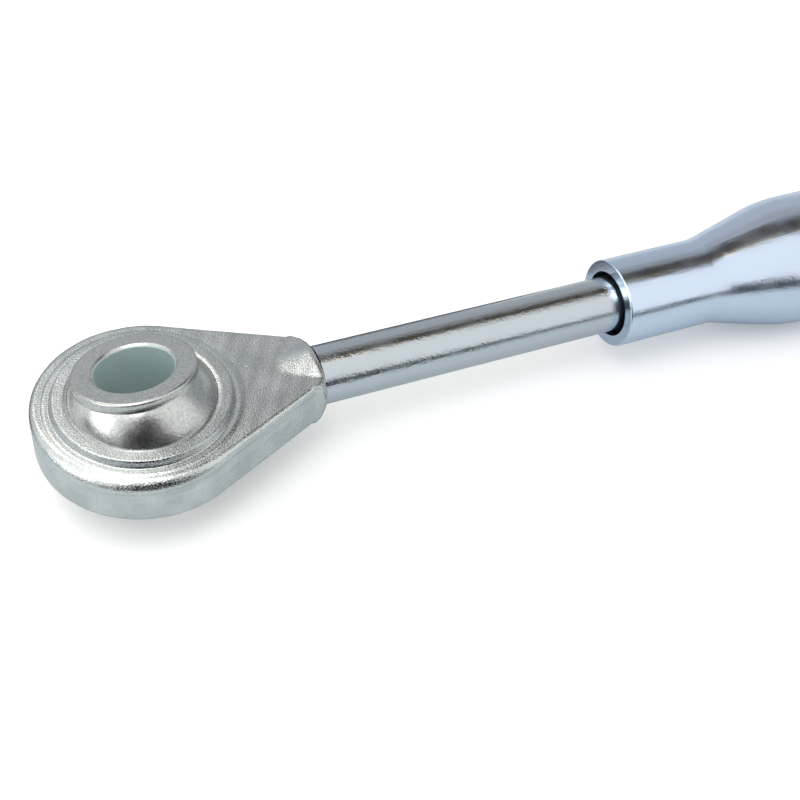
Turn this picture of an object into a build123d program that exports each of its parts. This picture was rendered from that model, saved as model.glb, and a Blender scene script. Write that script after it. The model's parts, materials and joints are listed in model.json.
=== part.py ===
from build123d import *
import math
import os

# Telescoping stabilizer strut with a swivel ball in a forged eye at each end.
# The origin is the centre of the rod-end ball. +X runs along the strut towards the tube end,
# and +Z is the axis of the two eyes. All sizes are in millimetres.

# Swivel balls
ball_diameter = 58.3
ball_width = 45.0
ball_bore = 28.7
bore_chamfer = 1.0
ball_collar_diameter = 44.6
collar_edge_in = 0.4
collar_edge_down = 1.6
ball_tilt = 12.85
tilt_heading = 105.7
socket_clearance = 0.05

# Forged eyes
eye_diameter = 79.5
eye_length = 66.3
eye_taper = 26.0
plate_thickness = 19.4
plate_edge_radius = 0.8
ring_diameter = 63.8
ring_height = 13.0
ring_fall = 0.5
ring_face_inner = 27.4
lip_fall = 0.4
crest_diameter = 69.4
crest_height = 10.2
step_draft = 1.0
bevel_angle = 31.0
bevel_height = 7.2
bevel_lean = 4.5
bevel_heading = -125.0
nose_width = 29.5
nose_diameter = 24.2
nose_turned_length = 5.3
nose_turned_diameter = 35.0
nose_turned_bulge = 0.5
nose_land = 2.0
ramp_length = 13.3
ramp_radius = 24.0
spigot_diameter = 16.0
spigot_length = 20.0
spigot_end_gap = 0.4

# Rod and the collars inside the tube
rod_diameter = 23.0
free_rod = 129.7
float_travel = 22.0
travel_spare = 2.0
collar_play = 0.4
collar_chamfer = 2.5
band_width = 10.0
band_thickness = 2.8
band_side_play = 0.1
band_running_play = 0.06
band_split = 1.5
band_land = 4.0
lock_groove_width = 16.0
lock_groove_floor = 26.4
lock_land = 6.0
stop_pin_diameter = 6.0
pin_end_gap = 0.3
rod_end_diameter = 18.0
washer_diameter = 34.0
washer_thickness = 3.0
rod_nut_flats = 27.0
rod_nut_height = 14.0
rod_tip = 2.6
rod_tip_chamfer = 1.2

# Outer tube
tube_diameter = 56.0
tube_wall = 4.5
neck_diameter = 36.5
neck_length = 46.0
flare_length = 39.0
flare_start_radius = 25.0
flare_end_radius = 75.0
mouth_edge_radius = 0.7

# Spring latch on the side of the tube
plunger_diameter = 14.0
plunger_play = 0.1
plunger_tip_gap = 3.0
plunger_point = 1.5
latch_side_play = 1.5
latch_stroke = 9.2
boss_diameter = 28.0
boss_edge = 1.0
boss_guide_length = 10.0
chamber_diameter = 20.6
flange_diameter = 19.6
flange_thickness = 3.0
flange_seat_gap = 0.3
spring_wire = 1.4
spring_coils = 4.0
spring_room = 17.0
spring_side_gap = 0.5
spring_end_gap = 0.1
cap_plug_length = 6.0
cap_flats = 26.0
cap_head = 5.0
stem_diameter = 9.0
stem_play = 0.35
stem_length = 15.0
ring_hole_diameter = 5.6
ring_hole_edge = 4.6
pull_ring_wire = 3.4
pull_ring_radius = 11.5
pull_ring_lift = 0.1

# Grease nipple
nipple_thread = 8.0
nipple_flats = 9.0
nipple_hex_height = 5.0
nipple_neck = 4.6
nipple_head = 6.6
nipple_height = 11.5

# Adjusting screw in the end of the tube
spindle_diameter = 24.0
thread_play = 0.1
spindle_inner_chamfer = 1.5
screw_travel = 21.0
screw_grip = 22.0
screw_inner_spare = 6.5
bush_flange = 10.0
bush_inside = 32.0
bush_bore_chamfer = 1.5
bush_weld_chamfer = 2.0
nut_seat_gap = 0.3
lock_nut_flats = 36.0
lock_nut_height = 18.0
nut_corner_angle = 30.0
nut_eye_spare = 3.0

# Radii and heights that follow from the sizes above
ball_radius = ball_diameter / 2
socket_radius = ball_radius + socket_clearance
eye_radius = eye_diameter / 2
plate_half = plate_thickness / 2
nose_radius = nose_diameter / 2
rod_radius = rod_diameter / 2
tube_radius = tube_diameter / 2
tube_bore_radius = tube_radius - tube_wall
neck_radius = neck_diameter / 2
collar_radius = tube_bore_radius - collar_play
band_outer_radius = tube_bore_radius - band_running_play
band_inner_radius = band_outer_radius - band_thickness
band_floor_radius = band_inner_radius - band_running_play
band_seat_width = band_width + 2 * band_side_play

# Stations along the strut
mouth_x = eye_length + free_rod
flare_x = mouth_x + neck_length
shoulder_x = flare_x + flare_length + travel_spare
front_band_x = shoulder_x + travel_spare + float_travel + band_land
lock_groove_x = front_band_x + band_seat_width + band_land
lock_collar_end_x = lock_groove_x + lock_groove_width + lock_land
latch_x = lock_collar_end_x + float_travel + latch_side_play + plunger_diameter / 2
rear_collar_x = latch_x + plunger_diameter / 2 + latch_side_play + float_travel
guide_band_x = rear_collar_x + band_land
washer_x = guide_band_x + band_seat_width + band_land
rod_nut_x = washer_x + washer_thickness
rod_end_x = rod_nut_x + rod_nut_height + rod_tip
lock_reach = latch_x - lock_groove_x - lock_groove_width / 2
spindle_x = rod_end_x + lock_reach + screw_inner_spare + screw_travel
bush_end_x = spindle_x + screw_travel + screw_grip
tube_end_x = bush_end_x - bush_flange
bush_x = tube_end_x - bush_inside
lock_nut_x = bush_end_x + nut_seat_gap
tube_nose_x = lock_nut_x + lock_nut_height + screw_travel + nut_eye_spare
tube_eye_x = tube_nose_x + eye_length

# Stations along the latch, measured outwards from the axis of the tube
plunger_tip = rod_radius + plunger_tip_gap
guide_end = tube_radius + boss_guide_length
flange_seat = guide_end + flange_seat_gap
spring_start = flange_seat + flange_thickness
spring_end = spring_start + spring_room
boss_top = spring_end + cap_plug_length
cap_top = boss_top + cap_head
stem_end = cap_top + stem_length - latch_stroke + ring_hole_edge
ring_pivot = stem_end - ring_hole_edge

# Sweep clear of every piece, for cutters that only have to reach past a surface
reach = 2 * tube_diameter


def turned(axis, *lines):
    """Solid of revolution about axis, from lines drawn in the XZ plane."""
    return revolve(Plane.XZ * make_face(lines), axis)


def turned_along_x(*points):
    """Solid turned about the strut's axis, from (x, radius) points."""
    return turned(Axis.X, Polyline(*points, close=True))


def turned_about_z(*points):
    """Solid turned about an eye's axis, from (radius, z) points."""
    return turned(Axis.Z, Polyline(*points, close=True))


def below(upper):
    """Mirror image, below z = 0, of a profile's points, in the order that carries it on."""
    return [(r, -z) for r, z in reversed(upper)]


def on_latch(piece):
    """Piece drawn along +Z from the origin, laid along -Y at the latch."""
    return Pos(latch_x, 0, 0) * Rot(90, 0, 0) * piece


def round_bar(radius, start, end):
    """Round bar about +Z between two heights."""
    height = end - start
    return Pos(0, 0, start) * Cylinder(radius, height, align=(Align.CENTER, Align.CENTER, Align.MIN))


def hexagon(flats, height):
    """Hexagon with chamfered corners standing on z = 0, measured across its flats."""
    corner_radius = flats / math.sqrt(3)
    corner_drop = (corner_radius - flats / 2) * math.tan(math.radians(nut_corner_angle))
    skirt = turned_about_z(
        (0, 0),
        (flats / 2, 0),
        (corner_radius, corner_drop),
        (corner_radius, height - corner_drop),
        (flats / 2, height),
        (0, height),
    )
    return extrude(RegularPolygon(corner_radius, 6), amount=height) & skirt


def nut(flats, height, hole_radius):
    """Hexagon nut standing on z = 0."""
    return hexagon(flats, height) - round_bar(hole_radius, 0, height)


def make_ball():
    """Bored ball with a collar round each face."""
    bore_radius = ball_bore / 2
    half_width = ball_width / 2
    collar = ball_collar_diameter / 2
    shoulder = math.sqrt(ball_radius ** 2 - collar ** 2)
    upper = [
        (bore_radius, half_width - bore_chamfer),
        (bore_radius + bore_chamfer, half_width),
        (collar - collar_edge_in, half_width),
        (collar, half_width - collar_edge_down),
        (collar, shoulder),
    ]
    lower = below(upper)
    belly = ThreePointArc(upper[-1], (ball_radius, 0), lower[0])
    return turned(Axis.Z, Polyline(*upper), belly, Polyline(*lower), Line(lower[-1], upper[0]))


def eye_plan():
    """Outline of the eye: a round head with straight sides that close in on a parallel nose."""
    taper = math.radians(eye_taper)
    touch_x = eye_radius * math.sin(taper)
    touch_y = eye_radius * math.cos(taper)
    nose_half = nose_width / 2
    neck_x = (eye_radius - nose_half * math.cos(taper)) / math.sin(taper)
    head = ThreePointArc((touch_x, touch_y), (-eye_radius, 0), (touch_x, -touch_y))
    near_side = [(touch_x, -touch_y), (neck_x, -nose_half), (eye_length, -nose_half)]
    far_side = [(x, -y) for x, y in reversed(near_side)]
    return make_face([head, Polyline(*near_side, *far_side)])


def eye_bevel():
    """Cutter for the edge bevel: round the head and on along both sides, deepest at one corner."""
    crest_radius = crest_diameter / 2
    fall = math.tan(math.radians(bevel_angle))
    top = crest_height + ring_height
    outer = eye_radius + plate_thickness
    outline = Polyline(
        (crest_radius, bevel_height + (eye_radius - crest_radius) * fall),
        (outer, bevel_height - (outer - eye_radius) * fall),
        (outer, top),
        (crest_radius, top),
        close=True,
    )
    touch_angle = 90 - eye_taper
    section = Rot(0, 0, touch_angle) * (Plane.XZ * make_face(outline))
    head = revolve(section, Axis.Z, 360 - 2 * touch_angle)
    side = extrude(section, amount=eye_length)
    cutter = head + side + mirror(side, Plane.XZ)
    heading = math.radians(bevel_heading)
    hinge = Axis((0, 0, 0), (-math.sin(heading), math.cos(heading), 0))
    lift = eye_radius * math.sin(math.radians(bevel_lean))
    return Pos(0, 0, lift) * cutter.rotate(hinge, bevel_lean)


def make_eye():
    """Forged eye: teardrop plate, raised ring round the socket, nose turned round for the bar."""
    crest_radius = crest_diameter / 2
    ring_radius = ring_diameter / 2
    ring_edge = ring_height - ring_fall
    plan = eye_plan()
    plate = extrude(plan, amount=plate_half, both=True)
    rims = plate.edges().group_by(Axis.Z)
    plate = fillet(rims[0] + rims[-1], plate_edge_radius)
    steps = [
        (0, ring_height),
        (ring_face_inner, ring_height),
        (ring_radius, ring_edge),
        (ring_radius + step_draft, crest_height),
        (crest_radius, crest_height),
    ]
    ring = turned_about_z(*steps, *below(steps))
    land_x = eye_length - nose_land
    ramp_x = land_x - ramp_length
    core = turned_along_x(
        (ramp_x, 0), (ramp_x, plate_half), (land_x, nose_radius), (eye_length, nose_radius), (eye_length, 0)
    )
    ramp_rise = math.degrees(math.atan2(nose_radius - plate_half, ramp_length))
    barrel = Rot(0, -ramp_rise, 0) * Pos(0, 0, -ramp_radius) * Rot(0, 90, 0) * Cylinder(ramp_radius, reach)
    length_of_ramp = Pos(ramp_x + ramp_length / 2, 0, 0) * Box(ramp_length, nose_width, reach)
    ramp = (Pos(ramp_x, 0, plate_half) * barrel) & extrude(plan, amount=ring_height) & length_of_ramp
    turned_x = eye_length - nose_turned_length
    turned_start = (turned_x, nose_turned_diameter / 2)
    turned_end = (eye_length, nose_radius)
    turned_middle = (
        (turned_start[0] + turned_end[0]) / 2 + nose_turned_bulge,
        (turned_start[1] + turned_end[1]) / 2 + nose_turned_bulge,
    )
    nose_turning = turned(
        Axis.X,
        ThreePointArc(turned_start, turned_middle, turned_end),
        Polyline(turned_end, (reach, nose_radius), (reach, reach), (turned_x, reach), turned_start),
    )
    lip_height = ring_height - lip_fall
    lip_radius = math.sqrt(socket_radius ** 2 - lip_height ** 2)
    lip = turned_about_z(
        (0, lip_height), (lip_radius, lip_height), (ring_face_inner, ring_height), (0, ring_height)
    )
    bevel = eye_bevel()
    flip = Rot(180, 0, 0)
    eye = plate + ring + core + ramp + flip * ramp
    eye = eye - nose_turning - bevel - flip * bevel
    eye = eye - Sphere(socket_radius) - lip - flip * lip
    socket_end = eye_length - spigot_length
    hole = turned_along_x(
        (socket_end, 0), (socket_end, spigot_diameter / 2), (eye_length, spigot_diameter / 2), (eye_length, 0)
    )
    return eye - hole


def make_rod():
    """Drawn bar with a spigot in the eye and a stepped end for the rear collar."""
    spigot = spigot_diameter / 2
    end = rod_end_diameter / 2
    start_x = eye_length - spigot_length + spigot_end_gap
    rod = turned_along_x(
        (start_x, 0),
        (start_x, spigot - spigot_end_gap),
        (start_x + spigot_end_gap, spigot),
        (eye_length, spigot),
        (eye_length, rod_radius),
        (rear_collar_x, rod_radius),
        (rear_collar_x, end),
        (rod_end_x - rod_tip_chamfer, end),
        (rod_end_x, end - rod_tip_chamfer),
        (rod_end_x, 0),
    )
    return rod - stop_pin_hole()


def stop_pin_station():
    """Place of the cross pin: under the front band, in the middle of its seat."""
    return Pos(front_band_x + band_seat_width / 2, 0, 0)


def stop_pin_hole():
    """Cross hole for the pin."""
    return stop_pin_station() * Cylinder(stop_pin_diameter / 2, reach)


def make_stop_pin():
    """Cross pin through the lock collar and the rod, kept in by the front band."""
    length = 2 * (band_floor_radius - pin_end_gap)
    pin = Cylinder(stop_pin_diameter / 2, length)
    return stop_pin_station() * chamfer(pin.edges(), pin_end_gap)


def make_lock_collar():
    """Front collar: band seat, then the groove that the latch locks in."""
    front_x = front_band_x - band_land
    seat_end = front_band_x + band_seat_width
    groove_end = lock_groove_x + lock_groove_width
    floor = lock_groove_floor / 2
    collar = turned_along_x(
        (front_x, rod_radius),
        (front_x, collar_radius - collar_chamfer),
        (front_x + collar_chamfer, collar_radius),
        (front_band_x, collar_radius),
        (front_band_x, band_floor_radius),
        (seat_end, band_floor_radius),
        (seat_end, collar_radius),
        (lock_groove_x, collar_radius),
        (lock_groove_x, floor),
        (groove_end, floor),
        (groove_end, collar_radius),
        (lock_collar_end_x, collar_radius),
        (lock_collar_end_x, rod_radius),
    )
    return collar - stop_pin_hole()


def make_rear_collar():
    """Rear collar on the rod's step, with the seat of the guide band."""
    bore = rod_end_diameter / 2
    seat_end = guide_band_x + band_seat_width
    return turned_along_x(
        (rear_collar_x, bore),
        (rear_collar_x, collar_radius),
        (guide_band_x, collar_radius),
        (guide_band_x, band_floor_radius),
        (seat_end, band_floor_radius),
        (seat_end, collar_radius),
        (washer_x - collar_chamfer, collar_radius),
        (washer_x, collar_radius - collar_chamfer),
        (washer_x, bore),
    )


def make_band(seat_x):
    """Split plastic band that runs in the tube's bore."""
    start = seat_x + band_side_play
    end = start + band_width
    band = turned_along_x(
        (start, band_inner_radius),
        (start, band_outer_radius),
        (end, band_outer_radius),
        (end, band_inner_radius),
    )
    middle = (start + end) / 2
    split = Pos(middle, 0, -tube_bore_radius) * Box(2 * band_width, band_split, tube_bore_radius)
    return band - split


def make_washer():
    """Plain washer between the rear collar and the nut."""
    bore = rod_end_diameter / 2
    outer = washer_diameter / 2
    return turned_along_x((washer_x, bore), (washer_x, outer), (rod_nut_x, outer), (rod_nut_x, bore))


def make_rod_nut():
    """Nut on the rod's end."""
    return Pos(rod_nut_x, 0, 0) * Rot(0, 90, 0) * nut(rod_nut_flats, rod_nut_height, rod_end_diameter / 2)


def tube_shell(inset):
    """Solid inside the tube's outer outline, drawn inset towards the axis."""
    neck = neck_radius - inset
    body = tube_radius - inset
    outline = FilletPolyline(
        (mouth_x, neck),
        (flare_x, neck),
        (flare_x + flare_length, body),
        (tube_end_x, body),
        radius=[flare_start_radius, flare_end_radius],
    )
    closing = Polyline((tube_end_x, body), (tube_end_x, 0), (mouth_x, 0), (mouth_x, neck))
    return turned(Axis.X, outline, closing)


def make_tube():
    """Outer tube with its swaged neck, the latch hole and the nipple hole."""
    outside = tube_shell(0)
    mouth_edge = outside.edges().filter_by(GeomType.CIRCLE).sort_by(Axis.X)[0]
    outside = fillet(mouth_edge, mouth_edge_radius)
    latch_hole = on_latch(round_bar(plunger_diameter / 2 + plunger_play, 0, tube_diameter))
    nipple_hole = Pos(latch_x, 0, 0) * round_bar(nipple_thread / 2, 0, tube_diameter)
    return outside - tube_shell(tube_wall) - latch_hole - nipple_hole


def make_latch_boss():
    """Turned boss, saddle-cut to sit on the tube, with the guide bore and the spring chamber."""
    outer = boss_diameter / 2
    boss = turned_about_z(
        (0, 0),
        (outer, 0),
        (outer, boss_top - boss_edge),
        (outer - boss_edge, boss_top),
        (0, boss_top),
    )
    guide = round_bar(plunger_diameter / 2 + plunger_play, 0, guide_end)
    chamber = round_bar(chamber_diameter / 2, guide_end, boss_top)
    saddle = Pos(latch_x, 0, 0) * Rot(0, 90, 0) * Cylinder(tube_radius, reach)
    return on_latch(boss - guide - chamber) - saddle


def make_plunger():
    """Latch bolt with its spring flange, and a stem with the hole for the pull ring."""
    bolt = plunger_diameter / 2
    stem = stem_diameter / 2
    flange = flange_diameter / 2
    plunger = turned_about_z(
        (0, plunger_tip),
        (bolt - plunger_point, plunger_tip),
        (bolt, plunger_tip + plunger_point),
        (bolt, flange_seat),
        (flange, flange_seat),
        (flange, spring_start),
        (stem, spring_start),
        (stem, stem_end - boss_edge),
        (stem - boss_edge, stem_end),
        (0, stem_end),
    )
    ring_hole = Pos(0, 0, ring_pivot) * Rot(0, 90, 0) * Cylinder(ring_hole_diameter / 2, reach)
    return on_latch(plunger - ring_hole)


def make_spring():
    """Compression spring round the stem."""
    wire = spring_wire / 2
    radius = chamber_diameter / 2 - spring_side_gap - wire
    rise = spring_room - spring_wire - 2 * spring_end_gap
    path = Helix(rise / spring_coils, rise, radius)
    section = Plane(origin=path @ 0, z_dir=path % 0) * Circle(wire)
    coil = sweep(section, path=path, is_frenet=True)
    return on_latch(Pos(0, 0, spring_start + spring_end_gap + wire) * coil)


def make_latch_cap():
    """Hexagon cap screwed into the boss."""
    plug = round_bar(chamber_diameter / 2, spring_end, boss_top)
    head = Pos(0, 0, boss_top) * hexagon(cap_flats, cap_head)
    hole = round_bar(stem_diameter / 2 + stem_play, spring_end, cap_top)
    return on_latch((plug + head) - hole)


def make_pull_ring():
    """Ring through the stem, hanging straight down."""
    ring = Rot(90, 0, 0) * Torus(pull_ring_radius, pull_ring_wire / 2)
    return Pos(latch_x, -ring_pivot, pull_ring_lift - pull_ring_radius) * ring


def make_grease_nipple():
    """Grease nipple screwed through the tube's wall, with its end clear of the collars."""
    thread = nipple_thread / 2
    neck = nipple_neck / 2
    head = nipple_head / 2
    bottom = tube_bore_radius + collar_play
    hex_top = tube_radius + nipple_hex_height
    top = tube_radius + nipple_height
    ball_height = top - head
    body = round_bar(thread, bottom, tube_radius)
    flats = Pos(0, 0, tube_radius) * hexagon(nipple_flats, nipple_hex_height)
    stalk = turned_about_z(
        (0, hex_top),
        (head, hex_top),
        (neck, ball_height - neck / 2),
        (head, ball_height),
        (neck, top),
        (0, top),
    )
    return Pos(latch_x, 0, 0) * (body + flats + stalk)


def make_thread_bush():
    """Flanged bush in the tube's end, bored for the spindle."""
    bore = spindle_diameter / 2 + thread_play
    flare = bore + bush_bore_chamfer
    return turned_along_x(
        (bush_x, flare),
        (bush_x, tube_bore_radius),
        (tube_end_x, tube_bore_radius),
        (tube_end_x, tube_radius - bush_weld_chamfer),
        (tube_end_x + bush_weld_chamfer, tube_radius),
        (bush_end_x - bush_bore_chamfer, tube_radius),
        (bush_end_x, tube_radius - bush_bore_chamfer),
        (bush_end_x, flare),
        (bush_end_x - bush_bore_chamfer, bore),
        (bush_x + bush_bore_chamfer, bore),
    )


def make_spindle():
    """Adjusting screw, drawn at its thread's outside, with a spigot in the tube-end eye."""
    radius = spindle_diameter / 2
    spigot = spigot_diameter / 2
    end_x = tube_nose_x + spigot_length - spigot_end_gap
    return turned_along_x(
        (spindle_x, 0),
        (spindle_x, radius - spindle_inner_chamfer),
        (spindle_x + spindle_inner_chamfer, radius),
        (tube_nose_x, radius),
        (tube_nose_x, spigot),
        (end_x - spigot_end_gap, spigot),
        (end_x, spigot - spigot_end_gap),
        (end_x, 0),
    )


def make_lock_nut():
    """Jam nut that holds the spindle against the bush."""
    blank = nut(lock_nut_flats, lock_nut_height, spindle_diameter / 2 + thread_play)
    return Pos(lock_nut_x, 0, 0) * Rot(0, 90, 0) * blank


ball = make_ball()
eye = make_eye()
tilt_direction = math.radians(tilt_heading)
tilt_hinge = Axis((0, 0, 0), (-math.sin(tilt_direction), math.cos(tilt_direction), 0))
at_tube_end = Pos(tube_eye_x, 0, 0) * Rot(0, 0, 180)

pieces = {
    "rod_ball": ball.rotate(tilt_hinge, ball_tilt),
    "rod_eye": eye,
    "slide_rod": make_rod(),
    "lock_collar": make_lock_collar(),
    "stop_pin": make_stop_pin(),
    "front_band": make_band(front_band_x),
    "rear_collar": make_rear_collar(),
    "guide_band": make_band(guide_band_x),
    "rod_washer": make_washer(),
    "rod_nut": make_rod_nut(),
    "outer_tube": make_tube(),
    "latch_boss": make_latch_boss(),
    "latch_plunger": make_plunger(),
    "latch_spring": make_spring(),
    "latch_cap": make_latch_cap(),
    "pull_ring": make_pull_ring(),
    "grease_nipple": make_grease_nipple(),
    "thread_bush": make_thread_bush(),
    "spindle": make_spindle(),
    "lock_nut": make_lock_nut(),
    "tube_eye": at_tube_end * eye,
    "tube_ball": at_tube_end * ball,
}

os.makedirs("parts", exist_ok=True)
for name, piece in pieces.items():
    export_step(piece, f"parts/{name}.step")
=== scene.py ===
"""Looks of a telescoping stabilizer link: zinc-plated steel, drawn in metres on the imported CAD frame."""
import json
import math

import bmesh
import bpy
import numpy as np
from bpy.props import FloatProperty, FloatVectorProperty, PointerProperty
from mathutils import Matrix, Vector


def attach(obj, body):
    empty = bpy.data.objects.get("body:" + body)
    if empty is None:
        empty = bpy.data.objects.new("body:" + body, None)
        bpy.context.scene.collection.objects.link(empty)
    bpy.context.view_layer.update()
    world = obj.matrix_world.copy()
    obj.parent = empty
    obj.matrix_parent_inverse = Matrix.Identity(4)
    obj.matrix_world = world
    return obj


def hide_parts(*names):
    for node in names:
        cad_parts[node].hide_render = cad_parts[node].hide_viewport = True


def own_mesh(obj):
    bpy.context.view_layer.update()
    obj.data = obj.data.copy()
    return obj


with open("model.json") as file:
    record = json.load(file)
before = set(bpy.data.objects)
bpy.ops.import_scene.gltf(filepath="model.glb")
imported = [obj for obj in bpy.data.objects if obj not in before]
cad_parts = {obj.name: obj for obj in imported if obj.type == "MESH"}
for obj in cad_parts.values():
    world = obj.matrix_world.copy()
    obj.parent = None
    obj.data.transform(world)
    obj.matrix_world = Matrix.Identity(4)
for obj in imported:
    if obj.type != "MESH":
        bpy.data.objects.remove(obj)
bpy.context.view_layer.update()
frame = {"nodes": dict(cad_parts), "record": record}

bl_info = {
    "name": "Stabilizer Link Looks",
    "version": (1, 0, 0),
    "blender": (4, 5, 0),
    "location": "View3D > Sidebar > Link",
    "description": "Dresses the stabilizer link with its forged, drawn and turned zinc-plated surfaces",
    "category": "Object",
}

MM = 0.001


# Colour, blends and surfaces


def linear(hex_colour):
    """sRGB hex colour as linear red, green and blue."""
    parts = np.array([int(hex_colour[i : i + 2], 16) for i in (1, 3, 5)]) / 255
    return tuple(np.where(parts <= 0.04045, parts / 12.92, ((parts + 0.055) / 1.055) ** 2.4).tolist())


def soft_min(a, b, width):
    """The lower of two surfaces, blended over width where they cross."""
    share = np.clip(0.5 + 0.5 * (b - a) / width, 0, 1)
    return b * (1 - share) + a * share - width * share * (1 - share)


def soft_max(a, b, width):
    """The higher of two surfaces, blended over width where they cross."""
    return -soft_min(-a, -b, width)


def smooth_step(low, high, value):
    """0 below low, 1 above high, and the cubic 3t^2 - 2t^3 between them."""
    t = np.clip((value - low) / (high - low), 0, 1)
    return t * t * (3 - 2 * t)


def surface(name, points, close_rows, close_columns):
    """Object whose mesh spans a grid of points in millimetres, faces turned outwards.

    points is rows x columns x 3. A closed direction joins its last line of points to its first.
    The sign of the volume under the faces says which way they turn.
    """
    rows, columns = points.shape[:2]
    index = np.arange(rows * columns).reshape(rows, columns)
    if close_rows:
        index = np.concatenate([index, index[:1]], axis=0)
    if close_columns:
        index = np.concatenate([index, index[:, :1]], axis=1)
    quads = np.stack([index[:-1, :-1], index[1:, :-1], index[1:, 1:], index[:-1, 1:]], axis=-1)
    quads = quads.reshape(-1, 4)
    corners = points.reshape(-1, 3)[quads]
    volume = np.einsum("ij,ij->i", corners[:, 0], np.cross(corners[:, 1], corners[:, 2])).sum()
    volume += np.einsum("ij,ij->i", corners[:, 0], np.cross(corners[:, 2], corners[:, 3])).sum()
    if volume < 0:
        quads = quads[:, ::-1]
    mesh = bpy.data.meshes.new(name)
    mesh.from_pydata((points.reshape(-1, 3) * MM).tolist(), [], quads.tolist())
    # Equal points become one, so that a row of them closes as a pole
    work = bmesh.new()
    work.from_mesh(mesh)
    bmesh.ops.remove_doubles(work, verts=work.verts, dist=1e-7)
    work.to_mesh(mesh)
    work.free()
    mesh.polygons.foreach_set("use_smooth", np.ones(len(mesh.polygons), bool))
    mesh.update()
    piece = bpy.data.objects.new(name, mesh)
    bpy.context.scene.collection.objects.link(piece)
    return piece


def rounded(*corners, closed=True):
    """Profile through (radius, height, rounding) corners in millimetres, with an arc at each corner.

    The arc's points are C + (sin((1 - t) w) s + sin(t w) e) / sin w, from its start s to its end e about C.
    A support point just before and after each arc keeps the flats beside it flat in the shading.
    An open profile keeps its first and last corner as they are.
    """
    support = 0.15
    place = np.array([corner[:2] for corner in corners], float)
    size = np.array([corner[2] for corner in corners], float)[:, None]
    back = np.roll(place, 1, axis=0) - place
    on = np.roll(place, -1, axis=0) - place
    back /= np.linalg.norm(back, axis=1, keepdims=True)
    on /= np.linalg.norm(on, axis=1, keepdims=True)
    half = np.arccos(np.clip((back * on).sum(1, keepdims=True), -0.9999, 0.9999)) / 2
    centre = place + (back + on) / np.linalg.norm(back + on, axis=1, keepdims=True) * size / np.sin(half)
    start = place + back * size / np.tan(half) - centre
    end = place + on * size / np.tan(half) - centre
    sweep = (np.pi - 2 * half)[:, None]
    t = np.linspace(0, 1, 7)[None, :, None]
    arc = (np.sin((1 - t) * sweep) * start[:, None] + np.sin(t * sweep) * end[:, None]) / np.sin(sweep)
    arc = centre[:, None] + arc
    before = arc[:, :1] + support * back[:, None]
    after = arc[:, -1:] + support * on[:, None]
    arc = np.concatenate([before, arc, after], axis=1)
    if closed:
        return arc.reshape(-1, 2)
    return np.concatenate([place[:1], arc[1:-1].reshape(-1, 2), place[-1:]], axis=0)


def turned_surface(name, profile, axis, centre, around=180):
    """Closed profile of (r, h) turned about an axis: centre + r (cos u side + sin u across) + h axis."""
    axis = np.array(axis, float) / np.linalg.norm(axis)
    side = np.cross(axis, (0, 1, 0) if abs(axis[1]) < 0.9 else (1, 0, 0))
    side /= np.linalg.norm(side)
    u = np.arange(around)[:, None, None] / around * 2 * np.pi
    out = np.cos(u) * side + np.sin(u) * np.cross(axis, side)
    points = np.array(centre, float) + profile[None, :, :1] * out + profile[None, :, 1:] * axis
    return surface(name, points, True, True)


# Reading the frame and placing pieces on it


def mount(name):
    """The record's mount of that name."""
    return {row["name"]: row for row in frame["record"]["mounts"]}[name]


def mount_x(name):
    """Where a mount lies along the strut, in millimetres."""
    return mount(name)["pos_m"][0] / MM


def joint(name):
    """The record's joint of that name."""
    return {row["name"]: row for row in frame["record"]["behaviour"]["joints"]}[name]


def joint_x(name):
    """Where a joint lies along the strut, in millimetres."""
    return joint(name)["pos_m"][0] / MM


def finish_piece(piece, body, material, nodes=()):
    """Puts a new piece on its body, its finish and the CAD nodes it stands for."""
    piece.data.materials.clear()
    piece.data.materials.append(material)
    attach(piece, body)
    if nodes:
        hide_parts(*nodes)


def dress(node, material):
    """Gives a CAD node its finish."""
    piece = frame["nodes"][node]
    piece.data.materials.clear()
    piece.data.materials.append(material)


# Shapes


# The forged eye, in millimetres from the centre of its ball
EYE = {
    "radius": 39.75,
    "half": 9.7,
    "length": 66.3,
    "taper": math.radians(26),
    "nose_half": 14.75,
    "crest": 34.7,
    "crest_height": 10.2,
    "lip": 26.34,
    "lip_height": 12.6,
    "face_inner": 27.4,
    "face_outer": 31.9,
    "face_height": 13.0,
    "face_fall": 0.1,
    "step_out": 32.9,
    "bevel_height": 7.2,
    "bevel_slope": math.tan(math.radians(31)),
    "bevel_lean": math.radians(4.5),
    "bevel_heading": math.radians(-125),
    "socket": 29.2,
    "nose": 12.1,
    "nose_start": (61.0, 17.5),
    "nose_middle": (64.15, 15.3),
    "ramp_x": 51.0,
    "land_x": 64.3,
    "ramp_radius": 24.0,
    "wave": 0.05,
    "fine_wave": 0.03,
}


def eye_distance(x, y):
    """Distance out from the eye's centre, measured square to its outline.

    It is sqrt(x^2 + y^2) round the head, and x sin taper + |y| cos taper along the two straight sides.
    """
    side = x * math.sin(EYE["taper"]) + np.abs(y) * math.cos(EYE["taper"])
    on_side = x * math.cos(EYE["taper"]) > np.abs(y) * math.sin(EYE["taper"])
    return np.where(on_side, side, np.hypot(x, y))


def nose_radius(x):
    """Radius of the turned nose at x: the circle through three points of its rounded end.

    Before the nose starts, the radius is large enough to cut nothing off.
    """
    no_cut = 60.0
    (x1, r1), (x2, r2), (x3, r3) = EYE["nose_start"], EYE["nose_middle"], (EYE["length"], EYE["nose"])
    system = np.array([[x2 - x1, r2 - r1], [x3 - x1, r3 - r1]])
    right = 0.5 * np.array([x2**2 - x1**2 + r2**2 - r1**2, x3**2 - x1**2 + r3**2 - r1**2])
    centre = np.linalg.solve(system, right)
    radius = math.hypot(x1 - centre[0], r1 - centre[1])
    inside = np.clip(radius**2 - (x - centre[0]) ** 2, 0, None)
    return np.where(x < x1, no_cut, centre[1] + np.sqrt(inside))


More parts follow.
